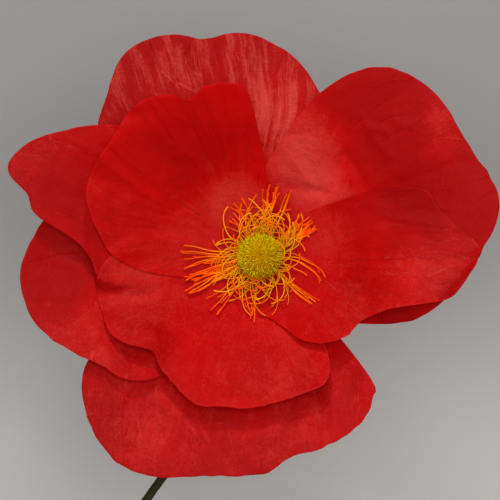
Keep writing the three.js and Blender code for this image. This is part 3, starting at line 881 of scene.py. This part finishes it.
def stamen_paths(row):
    """Paths of one row: loose threads all round, then the row's tufts."""
    rng = np.random.default_rng(row["seed"])
    middle = NECK + GLUE + row["place"] * (BAND + GLUE) + BAND / 2
    top = TUFT_BASE + BAND_TOP + (len(ROWS) - 1 - row["place"]) * BAND_STEP - THREAD_SINK
    threads = []
    for i in range(row["count"]):
        angle = 360 * (i + rng.uniform(-0.45, 0.45)) / row["count"]
        if any(abs((angle - at + 180) % 360 - 180) < half for at, half in row["gaps"]):
            continue
        side = 1 if math.sin(math.radians(angle * 2 + 40)) + rng.normal(0, 0.8) > 0 else -1
        threads.append((angle, angle + rng.uniform(-20, 20), rng.uniform(*row["length"]),
                        rng.uniform(*row["up"]), side * rng.uniform(*row["bend"]),
                        rng.uniform(0.45, 0.9), rng.uniform(-0.6, 0.1)))
    for angle, spread, count, length, thick, bend in row["tufts"]:
        for _ in range(count):
            there = angle + rng.uniform(-spread, spread)
            drawn = angle - (there - angle) * 0.1 + rng.uniform(-5, 5)
            threads.append((there, drawn, length * rng.uniform(0.8, 1.05),
                            rng.uniform(16, 32), bend + rng.normal(0, 0.25),
                            thick * rng.uniform(0.75, 1.15), rng.uniform(-0.1, 0.4)))
    paths = []
    for seat, heading, length, up, bend, thick, tint in threads:
        turn = math.radians(seat)
        start = (middle * math.cos(turn), middle * math.sin(turn), top)
        points = grow_thread(rng, start, heading, length, up, bend)
        t = np.linspace(0, 1, len(points))
        club = rng.uniform(0.1, 0.7)
        shares = thick * (1 - 0.25 * t + club * smooth(0.78, 0.95, t))
        paths.append((points, shares.tolist(), tint))
    return paths_mesh(row["node"] + "_paths", paths)


for row in ROWS:
    values = {"Radius": THREAD_RADIUS, "Sides": 6, "Finish": stamen_finish}
    threads = grown(stamen_paths(row), STRANDS, values, row["node"] + "_threads")
    add_piece(row["node"] + "_threads", threads, stamen_finish, "stamen_paper", row["node"])
    print(row["node"], len(threads.polygons), "faces")

# %% [markdown]
# ## The pod
# The pod is a ball wrapped in a very finely cut fringe, brushed outwards. The same strand tree
# makes its fringe from short paths that stand on the ball, and a plain ball under them closes the
# gaps between them.

# %% Pod
POD_RADIUS, POD_TOP, POD_NECK_TOP = 19, 36, 14
POD_MIDDLE = POD_NECK_TOP + (POD_TOP - POD_NECK_TOP) * 0.42
POD_TALL = POD_TOP - POD_MIDDLE
CORE_SHARE = 0.97
CORE_SIDES, CORE_RINGS = 48, 12
POD_FRINGE = 1200
FRINGE_RADIUS = 0.36 * MM
FRINGE_THICK = [1, 0.9, 0.8, 0.6]
LIT_FROM = (-0.5, 0.6, 0.6)


def pod_core():
    """The turned ball and its neck, as one closed mesh."""
    profile = [(NECK, 0), (NECK, POD_NECK_TOP - 1), (POD_RADIUS * 0.9, POD_MIDDLE - 4.5)]
    for i in range(CORE_RINGS):
        a = i / CORE_RINGS * math.pi / 2
        profile.append((POD_RADIUS * CORE_SHARE * math.cos(a),
                        POD_MIDDLE + POD_TALL * CORE_SHARE * math.sin(a)))
    turns = [2 * math.pi * k / CORE_SIDES for k in range(CORE_SIDES)]
    points = [(r * math.cos(a), r * math.sin(a), TUFT_BASE + h) for r, h in profile for a in turns]
    points += [(0, 0, TUFT_BASE), (0, 0, TUFT_BASE + POD_MIDDLE + POD_TALL * CORE_SHARE)]
    faces = []
    for j in range(len(profile) - 1):
        for k in range(CORE_SIDES):
            a, b = j * CORE_SIDES + k, j * CORE_SIDES + (k + 1) % CORE_SIDES
            faces.append((a, b, b + CORE_SIDES, a + CORE_SIDES))
    low, high, top = len(points) - 2, len(points) - 1, (len(profile) - 1) * CORE_SIDES
    for k in range(CORE_SIDES):
        faces.append((low, (k + 1) % CORE_SIDES, k))
        faces.append((high, top + k, top + (k + 1) % CORE_SIDES))
    mesh = bpy.data.meshes.new("pod_core")
    mesh.from_pydata(head_points(points).tolist(), [], faces)
    mesh.shade_smooth()
    return mesh


def pod_paths():
    """Paths of the brushed fringe: short hairs that stand off the ball and lean at random."""
    rng = np.random.default_rng(21)
    paths = []
    for i in range(POD_FRINGE):
        lean = math.acos(1 - (i + 0.5) / POD_FRINGE * 1.05)
        spin = i * math.pi * (3 - math.sqrt(5))
        out = np.array([math.sin(lean) * math.cos(spin), math.sin(lean) * math.sin(spin),
                        math.cos(lean)])
        seat = out * (POD_RADIUS * 0.9, POD_RADIUS * 0.9, POD_TALL * 0.93)
        seat = seat + (0, 0, TUFT_BASE + POD_MIDDLE)
        aim = out * (1.5, 1.5, 0.6) + rng.normal(0, 0.36, 3)
        step = rng.uniform(0.8, 1.4) * (1 + 0.45 * math.sin(lean))
        points = [seat]
        for _ in FRINGE_THICK[1:]:
            aim = aim / np.linalg.norm(aim) + rng.normal(0, 0.16, 3)
            points.append(points[-1] + aim / np.linalg.norm(aim) * step)
        # Painted light: hairs on the side of the ball that faces LIT_FROM get a lighter tint, and
        # those on the far side a darker one, a painted shade.
        lit = float(out @ LIT_FROM)
        paths.append((points, FRINGE_THICK, 0.35 * (lit - 0.5) + rng.uniform(-0.45, 0.35)))
    return paths_mesh("pod_paths", paths)


core = pod_core()
add_piece("seed_pod_core", core, pod_finish, "pod_paper", "seed_pod")
values = {"Radius": FRINGE_RADIUS, "Sides": 4, "Finish": pod_finish}
fringe = grown(pod_paths(), STRANDS, values, "seed_pod_fringe")
add_piece("seed_pod_fringe", fringe, pod_finish, "pod_paper", "seed_pod")
print("pod fringe", len(fringe.polygons), "faces")

# %% [markdown]
# ## Stem, cup and card
# The stem, its cup and the backing card keep their measured solids and only get their finish.
# The stem is wound with a thin waxed paper tape, so its finish has the slanted edges of the tape
# in its bump and a slightly waxy surface.

# %% Stem, cup and card finishes


def tape(name):
    """Dark olive floral tape, wound at a slant."""
    f = Finish(name)
    place = f.node("TexCoord", out=3)
    slant = f.node("TexWave", {"wave_type": "BANDS", "bands_direction": "Z",
                               "wave_profile": "SAW"}, out=1,
                   Vector=place, Scale=28.0, Distortion=1.6, Detail=2.0)
    mottle = f.noise(place, 90.0, 4.0, 0.6)
    colour = f.mix(mottle, srgb(24, 27, 4), srgb(54, 55, 12))
    bump = f.node("Bump", Strength=0.35, Distance=0.0006, Height=slant + mottle * 0.5)
    return f.end(f.node("BsdfPrincipled", Base_Color=colour, Roughness=mottle * 0.2 + 0.5,
                        Normal=bump, Specular_IOR_Level=0.2))


def card(name):
    """Plain matt red card."""
    f = Finish(name)
    place = f.node("TexCoord", out=3)
    fibres = f.noise(place, 420.0, 4.0, 0.65)
    colour = f.mix(fibres, srgb(128, 14, 12), srgb(158, 26, 22))
    bump = f.node("Bump", Strength=0.3, Distance=0.0003, Height=fibres)
    return f.end(f.node("BsdfPrincipled", Base_Color=colour, Roughness=0.85, Normal=bump))


tape_finish = tape("olive_tape")
card_finish = card("red_card")
for node, finish in (("stem", tape_finish), ("stem_cup", tape_finish),
                     ("backing_card", card_finish)):
    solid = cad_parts[node]
    solid.data.materials.clear()
    solid.data.materials.append(finish)
print("finished solids: stem, stem_cup, backing_card")

# %% [markdown]
# ## The studio
# A pale floor runs up into a wall close behind the flower. It shows only from its front side, so
# that the flower can also be looked at from behind. Two small lamps stand high in front, as in
# the photograph, where the lower petals are bright and the upper ones in their own shade. A large
# lamp lower down fills that shade, and a weak one behind shines through the top petals.

# %% Floor and wall
WALL_BACK = 0.55
SWEEP = 0.5
WALL_HIGH = 4.0
STAGE_HALF = 12.0
FLOOR_FRONT = -9.0
SWEEP_STEPS = 16


def backdrop():
    """Floor, sweep and wall as one strip."""
    profile = [(FLOOR_FRONT, 0.0), (WALL_BACK - SWEEP, 0.0)]
    for i in range(1, SWEEP_STEPS + 1):
        a = i / SWEEP_STEPS * math.pi / 2
        profile.append((WALL_BACK - SWEEP + SWEEP * math.sin(a), SWEEP - SWEEP * math.cos(a)))
    profile.append((WALL_BACK, WALL_HIGH))
    points = [(x, y, z) for y, z in profile for x in (-STAGE_HALF, STAGE_HALF)]
    faces = [(2 * i, 2 * i + 1, 2 * i + 3, 2 * i + 2) for i in range(len(profile) - 1)]
    mesh = bpy.data.meshes.new("backdrop")
    mesh.from_pydata(points, [], faces)
    mesh.shade_smooth()
    return mesh


f = Finish("studio_grey")
behind = f.node("NewGeometry", out=6)
rise = f.node("SeparateXYZ", out=2, Vector=f.node("TexCoord", out=3))
# Painted shade: the grey darkens from 0.15 m to 0.55 m up the sweep, for the lamps' light falling
# off higher up the wall.
grey = f.ramp(rise, [(0.15, srgb(176, 173, 170)), (0.55, srgb(140, 137, 135))])
matt = f.node("BsdfDiffuse", Color=grey)
clear = f.node("BsdfTransparent")
stage = bpy.data.objects.new("backdrop", backdrop())
bpy.context.collection.objects.link(stage)
stage.data.materials.append(f.end(f.both(behind, matt, clear)))
print("backdrop faces", len(stage.data.polygons))

# %% Lamps and world


def lamp(name, place, size, watts):
    """A square soft lamp that points at the flower's head."""
    light = bpy.data.lights.new(name, "AREA")
    light.size, light.energy = size, watts
    thing = bpy.data.objects.new(name, light)
    bpy.context.collection.objects.link(thing)
    thing.location = place
    thing.rotation_euler = (Vector(place) - HEAD).to_track_quat("Z", "Y").to_euler()


lamp("key", (0.06, -1.5, 2.25), 0.2, 22)
lamp("second", (0.28, -1.9, 1.95), 0.3, 11)
lamp("front", (0.30, -2.9, 1.15), 0.9, 52)
lamp("back", (0.22, 0.40, 1.65), 0.4, 5)
world = bpy.data.worlds.new("studio")
world.use_nodes = True
world.node_tree.nodes["Background"].inputs["Color"].default_value = (0.8, 0.8, 0.8, 1)
world.node_tree.nodes["Background"].inputs["Strength"].default_value = 0.4
bpy.context.scene.world = world
